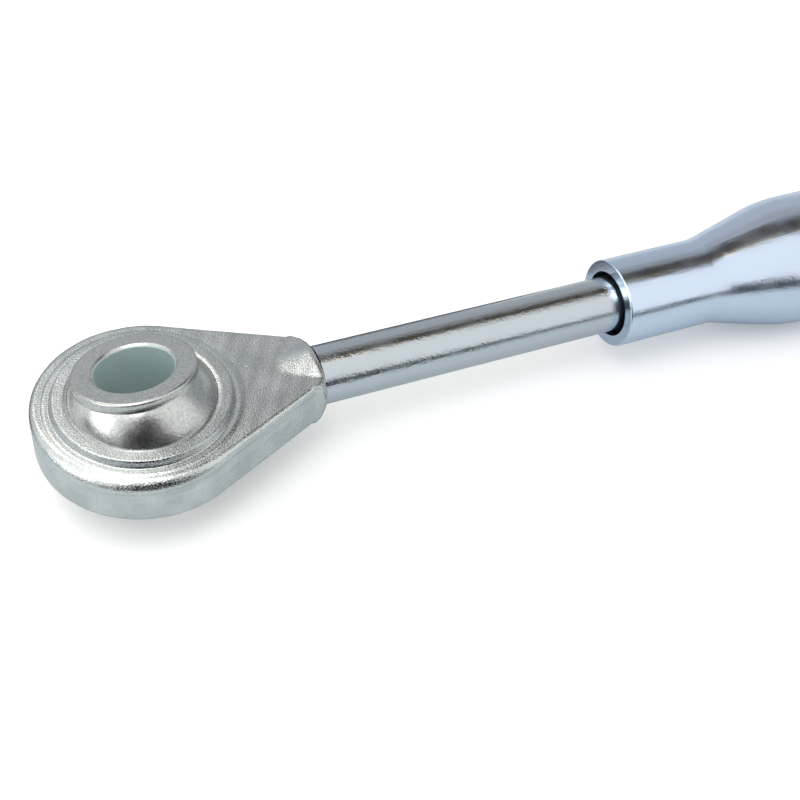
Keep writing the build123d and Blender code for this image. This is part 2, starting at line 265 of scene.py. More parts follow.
def eye_height(x, y):
    """Height of the eye's upper side over its middle plane.

    The raised ring steps down to the crest and the plate. A leaning cone and two leaning planes bevel
    the rim, the ramp is the upper side of a rising cylinder, half + rise dx - (R - sqrt(R^2 - y^2)),
    and the turned nose cuts everything off round X. The last number of each blend is its width.
    """
    r = np.hypot(x, y)
    lip_slope = (EYE["face_height"] - EYE["lip_height"]) / (EYE["face_inner"] - EYE["lip"])
    lip = EYE["lip_height"] + (r - EYE["lip"]) * lip_slope
    face_slope = EYE["face_fall"] / (EYE["face_outer"] - EYE["face_inner"])
    face = EYE["face_height"] - (r - EYE["face_inner"]) * face_slope
    face = soft_min(lip, face, 0.35)
    fall = smooth_step(EYE["crest"], EYE["crest"] + 1.2, r)
    low = EYE["crest_height"] + (EYE["half"] - EYE["crest_height"]) * fall
    step = smooth_step(EYE["face_outer"] - 0.6, EYE["step_out"], r)
    top = face * (1 - step) + low * step
    length = EYE["land_x"] - EYE["ramp_x"]
    dx = np.clip(x - EYE["ramp_x"], 0, length)
    rise = (EYE["nose"] - EYE["half"]) / length
    sag = EYE["ramp_radius"] - np.sqrt(np.clip(EYE["ramp_radius"] ** 2 - y**2, 0, None))
    top = np.where(dx > 0, soft_max(top, EYE["half"] + dx * rise - sag, 0.35), top)
    heading = x * math.cos(EYE["bevel_heading"]) + y * math.sin(EYE["bevel_heading"])
    lean = math.sin(EYE["bevel_lean"])
    bevel = EYE["bevel_height"] + (EYE["radius"] - eye_distance(x, y)) * EYE["bevel_slope"]
    bevel = bevel + EYE["radius"] * lean - heading * lean
    top = np.where(r > EYE["crest"] - 1, soft_min(top, bevel, 0.8), top)
    turned = np.sqrt(np.clip(nose_radius(x) ** 2 - y**2, 0, None))
    return soft_min(top, turned, 0.4)


def eye_outline(angle):
    """How far the eye reaches from its centre in each direction of its plan, found in steps of 0.01 mm."""
    reach = np.linspace(30, 72, 4201)
    x = reach * np.cos(angle)[:, None]
    y = reach * np.sin(angle)[:, None]
    inside = (eye_distance(x, y) <= EYE["radius"]) | ((x > 50) & (np.abs(y) <= EYE["nose_half"]))
    inside = inside & (x <= EYE["length"]) & (np.abs(y) <= nose_radius(x))
    return reach[np.argmin(inside, axis=1) - 1]


def eye_points(around, centre_x, turn, edge, trim_depth):
    """Grid of the forged eye: directions round its centre by stations along its closed section.

    The directions, u - 0.55 sin u, lie closer together towards the nose. The section runs up the socket,
    out over the upper side, beyond the crest as r = last + t (outline - last), down the side wall, and back
    in along the underside, which is the upper side turned half round X. The forging's waviness is a sum of
    sines, and the trimmed flash leaves a shallow groove high on the wall.
    """
    u = np.arange(around) / around * 2 * np.pi - np.pi
    angle = u - 0.55 * np.sin(u)
    outline = eye_outline(angle)
    edge_top = eye_height(outline * np.cos(angle), outline * np.sin(angle))
    round_off = np.minimum(edge, 0.4 * edge_top)[:, None]
    inner = np.concatenate(
        [
            np.linspace(EYE["lip"], EYE["face_inner"] + 0.6, 7),
            np.linspace(EYE["face_inner"] + 1.0, EYE["face_outer"] - 0.8, 6),
            np.linspace(EYE["face_outer"] - 0.5, EYE["step_out"] + 0.3, 11),
            np.linspace(EYE["step_out"] + 0.6, EYE["crest"] + 0.5, 4),
        ]
    )
    t = np.linspace(0, 1, 34)[1:]
    last = inner[-1]
    outer = last + (outline[:, None] - round_off - last) * t
    corner = np.linspace(0, np.pi / 2, 6)[1:]
    rim = outline[:, None] - round_off * (1 - np.sin(corner))
    reach = np.concatenate([np.broadcast_to(inner, (around, inner.size)), outer, rim], axis=1)
    x, y = reach * np.cos(angle)[:, None], reach * np.sin(angle)[:, None]
    drop = np.zeros_like(reach)
    drop[:, -corner.size :] = round_off * (1 - np.cos(corner))
    wave = EYE["wave"] * np.sin(0.31 * x + 1.3) * np.sin(0.27 * y + 0.4)
    wave = wave + EYE["fine_wave"] * np.sin(0.83 * x - 0.55 * y)
    fade = smooth_step(EYE["crest"], EYE["crest"] + 3, reach)
    upper = eye_height(x, y) - drop + wave * fade
    lower = -eye_height(x, -y) + drop - wave * fade
    down = np.linspace(0, 1, 26)[1:-1]
    wall_top, wall_low = upper[:, -1:], lower[:, -1:]
    wall_z = wall_top + (wall_low - wall_top) * down
    depth = wall_top - wall_z
    trim = smooth_step(0.3, 0.9, depth) * (1 - smooth_step(3.6, 5.2, depth))
    trim = trim * smooth_step(0.4, 1.6, EYE["half"] - wall_top)
    ragged = 1 + 0.35 * np.sin(9 * angle)[:, None] * np.sin(2.1 * wall_z)
    wall_reach = outline[:, None] - trim_depth * trim * ragged
    wall_x, wall_y = wall_reach * np.cos(angle)[:, None], wall_reach * np.sin(angle)[:, None]
    wall = np.stack([wall_x, wall_y, wall_z], axis=-1)
    lift = np.linspace(-1, 1, 14)[1:-1]
    socket_z = lift * EYE["lip_height"]
    socket_r = np.sqrt(EYE["socket"] ** 2 - socket_z**2)
    socket = np.stack(
        [
            socket_r * np.cos(angle)[:, None],
            socket_r * np.sin(angle)[:, None],
            np.broadcast_to(socket_z, (around, socket_z.size)),
        ],
        axis=-1,
    )
    top = np.stack([x, y, upper], axis=-1)
    bottom = np.stack([x, y, lower], axis=-1)[:, ::-1]
    points = np.concatenate([socket, top, wall, bottom], axis=1)
    points[..., 0] = centre_x + turn * points[..., 0]
    points[..., 1] = turn * points[..., 1]
    return points


# The bored ball, in millimetres from its centre
BALL = {"bore": 14.35, "chamfer": 1.05, "half": 22.5, "collar": 22.3, "collar_foot": 18.77, "belly": 29.15}
BELLY_REACH = math.radians(39.5)


def ball_profile():
    """Bored ball with a collar round each face, as a closed profile.

    The belly is the arc r = belly cos v, h = belly sin v between the feet of the two collars.
    """
    upper = rounded(
        (BALL["bore"], 0, 0),
        (BALL["bore"], BALL["half"] - BALL["chamfer"], 0.5),
        (BALL["bore"] + BALL["chamfer"], BALL["half"], 0.35),
        (BALL["collar"], BALL["half"], 1.1),
        (BALL["collar"], BALL["collar_foot"], 0),
        closed=False,
    )
    v = np.linspace(BELLY_REACH, -BELLY_REACH, 64)[:, None]
    belly = BALL["belly"] * np.concatenate([np.cos(v), np.sin(v)], axis=1)
    return np.concatenate([upper, belly, upper[:0:-1] * (1, -1)], axis=0)


# The adjusting screw along the strut, its thread and its spigot into the eye, in millimetres
SCREW = {
    "start": 518.0,
    "end": 603.3,
    "spigot_end": 622.9,
    "radius": 12.0,
    "tip": 10.5,
    "spigot": 8.0,
    "pitch": 3.0,
}


def thread_points(depth):
    """Grid of the adjusting screw: stations along X by directions round it, with a pole at each end.

    The thread is r = radius - depth w(x / pitch - u / 2 pi), where w is a rounded trapezoid wave.
    """
    start, end, spigot_end = SCREW["start"], SCREW["end"], SCREW["spigot_end"]
    x = np.arange(start, end, SCREW["pitch"] / 14)
    u = np.arange(72) / 72 * 2 * np.pi
    wave = 0.5 - 0.5 * np.cos(2 * np.pi * (x[:, None] / SCREW["pitch"]) - u)
    wave = smooth_step(0.12, 0.88, wave)
    fade = smooth_step(start, start + 2, x) * (1 - smooth_step(end - 6, end - 3, x))
    body = np.interp(x, [start, start + 1.5], [SCREW["tip"], SCREW["radius"]])
    radius = body[:, None] - depth * wave * fade[:, None]
    edge = 0.4
    ends_x = np.array([start, end, end, spigot_end - edge, spigot_end, spigot_end])
    ends_r = np.array([0.0, SCREW["radius"], SCREW["spigot"], SCREW["spigot"], SCREW["spigot"] - edge, 0.0])
    x = np.concatenate([ends_x[:1], x, ends_x[1:]])
    flat = np.broadcast_to(ends_r[:, None], (ends_r.size, u.size))
    radius = np.concatenate([flat[:1], radius, flat[1:]], axis=0)
    across = np.broadcast_to(x[:, None], radius.shape)
    return np.stack([across, -radius * np.sin(u), radius * np.cos(u)], axis=-1)


# The tube and the two weld beads on it: round the latch boss, and round the bush in the tube's end
TUBE_RADIUS = 28.0
BOSS_WELD = {"radius": 14.2, "ripple": 0.22, "ripples": 34}
BUSH_WELD = {"x": 552.0, "radius": 26.3, "ripple": 0.2, "ripples": 64}


def bead_points(path, out, up, size, weld):
    """Grid of a weld bead along a closed path: swell (out cos s + up sin s) round each of its points.

    The swell is size (1 + ripple |sin(ripples v / 2)|), where v runs once round the path.
    """
    s = np.arange(14) / 14 * 2 * np.pi
    step = np.arange(len(path)) / len(path) * 2 * np.pi * weld["ripples"]
    swell = size * (1 + weld["ripple"] * np.abs(np.sin(step / 2)))[:, None, None]
    return path[:, None] + swell * (np.cos(s)[:, None] * out[:, None] + np.sin(s)[:, None] * up[:, None])


# The latch spring, in millimetres out from the tube's axis
SPRING = {"seat": 41.3, "cap": 58.3, "gap": 0.1, "wire": 0.7, "coil": 9.1, "coils": 4}


def spring_points(latch_x):
    """Grid of the latch spring: sections of the wire along a helix, with a pole at each end.

    The helix is (coil cos t, -h, coil sin t) about the latch's axis, and h rises evenly with t.
    """
    t = np.linspace(0, 2 * np.pi * SPRING["coils"], 289)
    t = np.concatenate([t[:1], t, t[-1:]])
    wire = np.full(t.size, SPRING["wire"])
    wire[[0, -1]] = 0.0
    clear = SPRING["gap"] + SPRING["wire"]
    start, rise = SPRING["seat"] + clear, SPRING["cap"] - SPRING["seat"] - 2 * clear
    climb = rise / t[-1]
    level = np.zeros_like(t)
    centre_x, centre_z = latch_x + SPRING["coil"] * np.cos(t), SPRING["coil"] * np.sin(t)
    centre = np.stack([centre_x, -start - climb * t, centre_z], axis=-1)
    out = np.stack([np.cos(t), level, np.sin(t)], axis=-1)
    along = np.stack([-SPRING["coil"] * np.sin(t), level - climb, SPRING["coil"] * np.cos(t)], axis=-1)
    up = np.cross(along, out) / math.hypot(SPRING["coil"], climb)
    s = (np.arange(12) / 12 * 2 * np.pi)[:, None]
    return centre[:, None] + wire[:, None, None] * (np.cos(s) * out[:, None] + np.sin(s) * up[:, None])


# Materials


def add_node(tree, kind, settings=None, links=None, stops=(), **attributes):
    """Adds a shader node with its attributes, input values, links from other sockets and colour stops.

    An input is named, or numbered where names repeat. Map Range: 1 and 2 are the limits from, 3 and 4 the
    limits to. Mix: 0 is the share, 2 and 3 the two numbers, 6 and 7 the two colours.
    """
    node = tree.nodes.new(kind)
    for key, value in attributes.items():
        setattr(node, key, value)
    for key, value in (settings or {}).items():
        node.inputs[key].default_value = value
    for key, socket in (links or {}).items():
        tree.links.new(socket, node.inputs[key])
    for number, (position, value) in enumerate(stops):
        if number >= len(node.color_ramp.elements):
            node.color_ramp.elements.new(position)
        node.color_ramp.elements[number].position = position
        node.color_ramp.elements[number].color = value
    return node


def plated(name, base, roughness):
    """Metal material without a pattern: its tree, its shader and its object coordinates."""
    material = bpy.data.materials.new(name)
    material.use_nodes = True
    tree = material.node_tree
    tree.nodes.clear()
    start = {"Base Color": (*base, 1), "Metallic": 1.0, "Roughness": roughness}
    shader = add_node(tree, "ShaderNodeBsdfPrincipled", start)
    add_node(tree, "ShaderNodeOutputMaterial", links={"Surface": shader.outputs["BSDF"]})
    place = add_node(tree, "ShaderNodeTexCoord").outputs["Object"]
    return material, tree, shader, place


def forged_zinc(settings):
    """Bright zinc plate over drop-forged steel that was shot-blasted before plating.

    To the eye it is a pale neutral grey. The blasting's dimples break what it mirrors into a fine glitter,
    the trimmed wall is smoother, and slow clouds a shade darker show where the plate is thinner.
    Blasting leaves dimples of a few tenths of a millimetre. They are drawn 0.6 mm wide, so that they show.
    """
    material, tree, shader, place = plated("forged_steel_zinc_plate", tuple(settings.forged_tint), 0.3)
    # The trimmed wall round the middle plane has less of the blasting than the faces above and below it
    height = add_node(tree, "ShaderNodeSeparateXYZ", links={0: place}).outputs["Z"]
    height = add_node(tree, "ShaderNodeMath", links={0: height}, operation="ABSOLUTE").outputs[0]
    blast = add_node(
        tree, "ShaderNodeMapRange", {1: 2.5 * MM, 2: 7.5 * MM, 3: 0.3, 4: 1.0},
        {0: height}, interpolation_type="SMOOTHSTEP",
    ).outputs[0]
    grain = add_node(
        tree, "ShaderNodeTexNoise", {"Scale": 1 / settings.grain, "Detail": 3.0}, {"Vector": place}
    ).outputs[0]
    lumps = add_node(
        tree, "ShaderNodeTexNoise", {"Scale": 1 / (5.0 * MM), "Detail": 3.0}, {"Vector": place}
    ).outputs[0]
    clouds = add_node(
        tree, "ShaderNodeTexNoise", {"Scale": 1 / (12.0 * MM), "Detail": 4.0}, {"Vector": place}
    ).outputs[0]
    tint = add_node(
        tree, "ShaderNodeValToRGB", links={0: clouds},
        stops=((0.36, (*settings.forged_tint, 1)), (0.62, (*settings.forged_shade, 1))),
    ).outputs[0]
    tree.links.new(tint, shader.inputs["Base Color"])
    rough = add_node(tree, "ShaderNodeMapRange", {1: 0.35, 2: 0.65, 3: 0.14, 4: 0.3}, {0: grain}).outputs[0]
    tree.links.new(rough, shader.inputs["Roughness"])
    broad = add_node(tree, "ShaderNodeBump", {"Strength": 0.5, "Distance": 0.07 * MM}, {"Height": lumps})
    fine = add_node(
        tree, "ShaderNodeBump", {"Distance": 0.15 * MM},
        {"Height": grain, "Strength": blast, "Normal": broad.outputs[0]},
    )
    tree.links.new(fine.outputs[0], shader.inputs["Normal"])
    return material


def ball_zinc(name, settings, centre, axis):
    """Bright zinc plate over a turned and ground ball of steel.

    To the eye it is satin, with broad soft highlights and faint specks. The bore is a matt grey-green,
    because the bath hardly brightens a deep hole. The specks are drawn 0.9 mm wide, coarser than real ones.
    """
    material, tree, shader, place = plated(name, tuple(settings.ball_tint), 0.25)
    # Distance from the ball's axis, which is 14.35 mm on the wall of the bore
    local = add_node(tree, "ShaderNodeVectorMath", {1: centre}, {0: place}, operation="SUBTRACT").outputs[0]
    across = add_node(
        tree, "ShaderNodeVectorMath", {1: axis}, {0: local}, operation="CROSS_PRODUCT"
    ).outputs[0]
    across = add_node(tree, "ShaderNodeVectorMath", links={0: across}, operation="LENGTH").outputs["Value"]
    bore = add_node(
        tree, "ShaderNodeMapRange", {1: 14.5 * MM, 2: 14.9 * MM, 3: 0.7, 4: 0.0}, {0: across}
    ).outputs[0]
    skin = add_node(
        tree, "ShaderNodeTexNoise", {"Scale": 1 / (0.9 * MM), "Detail": 4.0}, {"Vector": place}
    ).outputs[0]
    shade = tuple(0.8 * part for part in settings.ball_tint)
    speckled = add_node(
        tree, "ShaderNodeValToRGB", links={0: skin},
        stops=((0.38, (*shade, 1)), (0.6, (*settings.ball_tint, 1))),
    ).outputs[0]
    tint = add_node(
        tree, "ShaderNodeMix", {7: (*settings.bore_tint, 1)}, {0: bore, 6: speckled}, data_type="RGBA"
    ).outputs[2]
    tree.links.new(tint, shader.inputs["Base Color"])
    clouds = add_node(
        tree, "ShaderNodeTexNoise", {"Scale": 1 / (7.0 * MM), "Detail": 3.0}, {"Vector": place}
    ).outputs[0]
    rough = add_node(tree, "ShaderNodeMapRange", {1: 0.3, 2: 0.7, 3: 0.22, 4: 0.33}, {0: clouds}).outputs[0]
    rough = add_node(tree, "ShaderNodeMix", {3: 0.65}, {0: bore, 2: rough}).outputs[0]
    tree.links.new(rough, shader.inputs["Roughness"])
    dull = add_node(tree, "ShaderNodeMath", {0: 1.0}, {1: bore}, operation="SUBTRACT").outputs[0]
    tree.links.new(dull, shader.inputs["Metallic"])
    fine = add_node(tree, "ShaderNodeBump", {"Strength": 0.8, "Distance": 0.05 * MM}, {"Height": skin})
    tree.links.new(fine.outputs[0], shader.inputs["Normal"])
    return material


def drawn_zinc(name, tint, roughness, speckle, line_width):
    """Bright zinc plate over cold-drawn steel, bluer on the tube than on the bar.

    To the eye it is nearly a mirror, with long bands of light and dark whose edges are ragged, because of
    the drawing lines along X. Real lines are finer. They are drawn 2.4 mm wide, so that they show.
    """
    material, tree, shader, place = plated(name, tint, roughness)
    lengthwise = add_node(tree, "ShaderNodeMapping", {"Scale": (1 / 6, 1, 1)}, {"Vector": place}).outputs[0]
    lines = add_node(
        tree, "ShaderNodeTexNoise", {"Scale": 1 / line_width, "Detail": 3.0}, {"Vector": lengthwise}
    ).outputs[0]
    skin = add_node(
        tree, "ShaderNodeTexNoise", {"Scale": 1 / (1.0 * MM), "Detail": 2.0}, {"Vector": place}
    ).outputs[0]
    clouds = add_node(
        tree, "ShaderNodeTexNoise", {"Scale": 1 / (11.0 * MM), "Detail": 4.0}, {"Vector": place}
    ).outputs[0]
    rough = add_node(
        tree, "ShaderNodeMapRange", {1: 0.3, 2: 0.7, 3: roughness * 0.8, 4: roughness * 1.35}, {0: clouds}
    ).outputs[0]
    tree.links.new(rough, shader.inputs["Roughness"])
    broad = add_node(tree, "ShaderNodeBump", {"Strength": 0.4, "Distance": 0.12 * MM}, {"Height": lines})
    fine = add_node(
        tree, "ShaderNodeBump", {"Strength": speckle, "Distance": 0.1 * MM},
        {"Height": skin, "Normal": broad.outputs[0]},
    )
    tree.links.new(fine.outputs[0], shader.inputs["Normal"])
    return material


def turned_zinc(name, tint, roughness):
    """Turned, rolled, ground or bent steel, bare or zinc-plated, as the name of each says.

    To the eye it is satin, with faint clouds and a fine skin that softens the edges of what it mirrors.
    The skin is drawn 0.9 mm wide, coarser than the real one, so that it shows.
    """
    material, tree, shader, place = plated(name, tint, roughness)
    clouds = add_node(
        tree, "ShaderNodeTexNoise", {"Scale": 1 / (6.0 * MM), "Detail": 3.0}, {"Vector": place}
    ).outputs[0]
    skin = add_node(
        tree, "ShaderNodeTexNoise", {"Scale": 1 / (0.9 * MM), "Detail": 2.0}, {"Vector": place}
    ).outputs[0]
    rough = add_node(
        tree, "ShaderNodeMapRange", {1: 0.3, 2: 0.7, 3: roughness * 0.8, 4: roughness * 1.3}, {0: clouds}
    ).outputs[0]
    tree.links.new(rough, shader.inputs["Roughness"])
    fine = add_node(tree, "ShaderNodeBump", {"Strength": 0.3, "Distance": 0.05 * MM}, {"Height": skin})
    tree.links.new(fine.outputs[0], shader.inputs["Normal"])
    return material


def acetal(settings):
    """Natural acetal, machined from rod.

    To the eye it is off-white, waxy and matt, with tool marks that hardly show, drawn 0.7 mm wide.
    """
    material, tree, shader, place = plated("machined_acetal", tuple(settings.acetal_tint), 0.45)
    shader.inputs["Metallic"].default_value = 0.0
    shader.inputs["IOR"].default_value = 1.48
    skin = add_node(
        tree, "ShaderNodeTexNoise", {"Scale": 1 / (0.7 * MM), "Detail": 2.0}, {"Vector": place}
    ).outputs[0]
    fine = add_node(tree, "ShaderNodeBump", {"Strength": 0.3, "Distance": 0.03 * MM}, {"Height": skin})
    tree.links.new(fine.outputs[0], shader.inputs["Normal"])
    return material


# Camera, floor, cards of painted reflection, lamps and sky


def place_camera(scene, studio):
    """Camera at the photograph's place and direction, as fitted to the outlines seen in it."""
    data = bpy.data.cameras.new("photo_camera")
    data.sensor_width = 36.0
    data.lens = studio.lens
    camera = bpy.data.objects.new("photo_camera", data)
    scene.collection.objects.link(camera)
    place = Vector((-64.86, -301.13, 334.44)) * MM
    forward = Vector((0.3382, 0.6028, -0.7227)).normalized()
    up = Vector((0.2383, 0.688, 0.6854)).normalized()
    right = forward.cross(up).normalized()
    up = right.cross(forward)
    turn = Matrix((right, up, -forward)).transposed()
    camera.matrix_world = Matrix.Translation(place) @ turn.to_4x4()
    scene.camera = camera


def stage_sheet(name, corners, material):
    """Flat piece of the studio through its corners, in metres."""
    mesh = bpy.data.meshes.new(name)
    mesh.from_pydata(corners, [], [tuple(range(len(corners)))])
    mesh.materials.append(material)
    piece = bpy.data.objects.new(name, mesh)
    bpy.context.scene.collection.objects.link(piece)
    return piece


def flat_corners(x_first, x_last, y_first, y_last, z):
    """Corners of a level rectangle."""
    return [(x_first, y_first, z), (x_last, y_first, z), (x_last, y_last, z), (x_first, y_last, z)]


def place_floor():
    """White paper floor, painted a shade greyer where metal mirrors it, with a faint glow that only the
    camera sees.

    The glow keeps the paper white in the picture and the shadow on it light.
    """
    size, height, camera_lift = 2.5, -0.0285, 0.12
    material = bpy.data.materials.new("white_paper_floor")
    material.use_nodes = True
    tree = material.node_tree
    shader = tree.nodes["Principled BSDF"]
    shader.inputs["Roughness"].default_value = 0.9
    shader.inputs["Specular IOR Level"].default_value = 0.0
    path = add_node(tree, "ShaderNodeLightPath")
    # Painted shade: the paper turns grey only in reflections, and the camera-only glow below is painted
    # light that lightens its shadow
    white, mirrored_shade = linear("#FAFAFA"), linear("#C6CDD0")
    colour = add_node(
        tree, "ShaderNodeMix", {6: (*white, 1), 7: (*mirrored_shade, 1)},
        {0: path.outputs["Is Glossy Ray"]}, data_type="RGBA",
    )
    tree.links.new(colour.outputs[2], shader.inputs["Base Color"])
    lift = add_node(
        tree, "ShaderNodeMath", {1: camera_lift}, {0: path.outputs["Is Camera Ray"]}, operation="MULTIPLY"
    ).outputs[0]
    shader.inputs["Emission Color"].default_value = (1, 1, 1, 1)
    tree.links.new(lift, shader.inputs["Emission Strength"])
    stage_sheet("studio_floor", flat_corners(-size, size, -size, size, height), material)


def place_reflection_cards(studio):
    """Glowing sheets round the table that only the metal mirrors: painted reflections, pale for lit
    surroundings and grey or dark for shaded ones. They light nothing and cast no shadow.
    """
    # Heights of the cards' feet, the table, the wall's top and the ceiling, all in metres
    low, table, high, ceiling = -0.03, -0.028, 1.1, 1.02
    # The wall's two ends, then how far back or near the wall, the near card and the table's edge stand
    left, right, wall_y, near_y, table_y = -1.6, 2.6, 1.4, -0.42, -1.0
    camera_side = [
        (-0.46, low), (0.11, low), (0.13, 0.2), (0.08, 0.42),
        (-0.1, 0.52), (-0.3, 0.45), (-0.45, 0.2),
    ]
    table_edge = [
        (0.1, low), (1.9, low), (1.9, 0.06), (0.62, 0.12),
        (0.5, 0.22), (0.42, 0.34), (0.3, 0.36), (0.1, 0.3),
    ]
    wall_corners = [(left, wall_y, low), (right, wall_y, low), (right, wall_y, high), (left, wall_y, high)]
    slope_corners = [(0.2, wall_y, high), (right, wall_y, high), (right, 0.62, 1.3), (0.2, 0.62, 1.3)]
    ceiling_dark_corners = [(0.14, 0.05, ceiling), (1.6, -0.3, ceiling), (1.6, 0.55, ceiling), (0.14, 0.5, ceiling)]
    left_corners = [(-0.7, -0.6, low), (-0.7, 0.2, low), (-0.7, 0.2, 0.12), (-0.7, -0.6, 0.14)]
    shade_corners = [(-0.15, 0.045, table), (0.2, 0.045, table), (0.3, 0.5, table), (-0.1, 0.5, table)]
    right_corners = [(1.7, -0.5, low), (1.7, 1.0, low), (1.7, 1.0, 0.9), (1.7, -0.5, 0.9)]
    right_high_corners = [(1.7, -0.4, 1.0), (1.7, 0.6, 1.0), (1.7, 0.6, 2.0), (1.7, -0.4, 2.0)]
    # Painted reflections: each card glows only where metal mirrors it, the pale ones as lit surroundings
    # and the dark ones as shade
    cards = (
        ("wall_card", wall_corners, "#EEF3FA", studio.wall),
        ("high_wall_card", slope_corners, "#F2F2F2", studio.wall * 0.8),
        # Painted dark reflection overhead, seen only in the metal
        ("ceiling_dark_reflection", ceiling_dark_corners, "#D0BEB0", 0.1),
        ("camera_side_card", [(x, near_y, z) for x, z in camera_side], "#C8C8CC", 0.05),
        ("table_edge_card", [(x, table_y, z) for x, z in table_edge], "#C8C8CC", 0.04),
        # Painted dark reflection on the floor on the camera side, seen only in the metal
        ("floor_dark_reflection", flat_corners(0.15, 1.9, -0.4, table_y, table), "#D8DCE0", 0.2),
        ("left_edge_card", left_corners, "#C8C8CC", 0.06),
        ("far_table_shade", shade_corners, "#E0E6EA", 0.2),
        ("right_high_card", right_high_corners, "#F0F0F0", 0.5),
        ("right_card", right_corners, "#E8EEF4", 0.42),
    )
    for name, corners, colour, strength in cards:
        material = bpy.data.materials.new(name + "_painted_reflection")
        material.use_nodes = True
        tree = material.node_tree
        tree.nodes.clear()
        # Emission that paints the reflection; it lights nothing
        glow = add_node(tree, "ShaderNodeEmission", {"Color": (*linear(colour), 1), "Strength": strength})
        add_node(tree, "ShaderNodeOutputMaterial", links={"Surface": glow.outputs["Emission"]})
        card = stage_sheet(name, corners, material)
        card.visible_camera = False
        card.visible_diffuse = False
        card.visible_shadow = False


def lamp(name, power, size, position, target, colour):
    """Soft rectangular lamp at a point, aimed at another, in metres."""
    data = bpy.data.lights.new(name, "AREA")
    data.energy = power
    data.shape = "RECTANGLE"
    data.size, data.size_y = size
    data.color = linear(colour)
    light = bpy.data.objects.new(name, data)
    bpy.context.scene.collection.objects.link(light)
    aim = (Vector(target) - Vector(position)).to_track_quat("-Z", "Y").to_matrix().to_4x4()
    light.matrix_world = Matrix.Translation(position) @ aim


def place_lamps(studio):
    """Soft box overhead, window on the left, warm lamp behind and two small warm tubes over the strut."""
    lamp("key_soft_box", studio.key, (0.6, 0.6), (-0.3, -0.3, 1.05), (0.05, 0.0, 0.0), "#FFFFFF")
    lamp("warm_lamp", studio.warm * 1.5, (0.2, 0.7), (-0.27, 0.6, 0.98), (0.06, 0.0, 0.0), "#FFF5E4")
    lamp("left_window", studio.key * 0.6, (0.7, 0.6), (-1.1, -0.15, 0.5), (0.0, 0.0, 0.0), "#FFFFFF")
    lamp("warm_tube_left", studio.warm * 0.1, (0.07, 0.09), (0.34, 0.0, 1.0), (0.34, 0.0, 0.0), "#FFE3B0")
    lamp("warm_tube_right", studio.warm * 0.03, (0.12, 0.06), (0.72, 0.0, 1.0), (0.72, 0.0, 0.0), "#FFE3B0")


def place_sky(scene, studio):
    """Even light from all round, white where the camera or a mirroring surface looks straight at it."""
    world = bpy.data.worlds.new("studio_sky")
    scene.world = world
    world.use_nodes = True
    tree = world.node_tree
    tree.nodes.clear()
    path = add_node(tree, "ShaderNodeLightPath").outputs
    seen = add_node(
        tree, "ShaderNodeMath",
        links={0: path["Is Camera Ray"], 1: path["Is Glossy Ray"]}, operation="MAXIMUM",
    ).outputs[0]
    seen = add_node(
        tree, "ShaderNodeMath", links={0: seen, 1: path["Is Transmission Ray"]}, operation="MAXIMUM"
    ).outputs[0]
    even = add_node(
        tree, "ShaderNodeBackground", {"Color": (1, 1, 1, 1), "Strength": studio.sky}
    ).outputs[0]
    white = add_node(tree, "ShaderNodeBackground", {"Color": (1, 1, 1, 1), "Strength": 1.0}).outputs[0]
    mixed = add_node(tree, "ShaderNodeMixShader", links={0: seen, 1: even, 2: white})
    add_node(tree, "ShaderNodeOutputWorld", links={"Surface": mixed.outputs["Shader"]})


# Settings and operators


class LinkReliefSettings(bpy.types.PropertyGroup):
    """Sizes of the relief that the CAD leaves to the looks, in metres."""

    edge: FloatProperty(
        name="Edge", description="Rounding of the forged eyes' rim",
        default=2.1 * MM, unit="LENGTH", precision=5,
    )
    trim: FloatProperty(
        name="Trim", description="Depth of the groove left by the flash",
        default=0.28 * MM, unit="LENGTH", precision=5,
    )
    thread: FloatProperty(
        name="Thread", description="Depth of the screw's thread",
        default=1.7 * MM, unit="LENGTH", precision=5,
    )
    boss_bead: FloatProperty(
        name="Boss weld", description="Radius of the boss's weld bead",
        default=1.7 * MM, unit="LENGTH", precision=5,
    )
    bush_bead: FloatProperty(
        name="Bush weld", description="Radius of the bush's weld bead",
        default=1.4 * MM, unit="LENGTH", precision=5,
    )


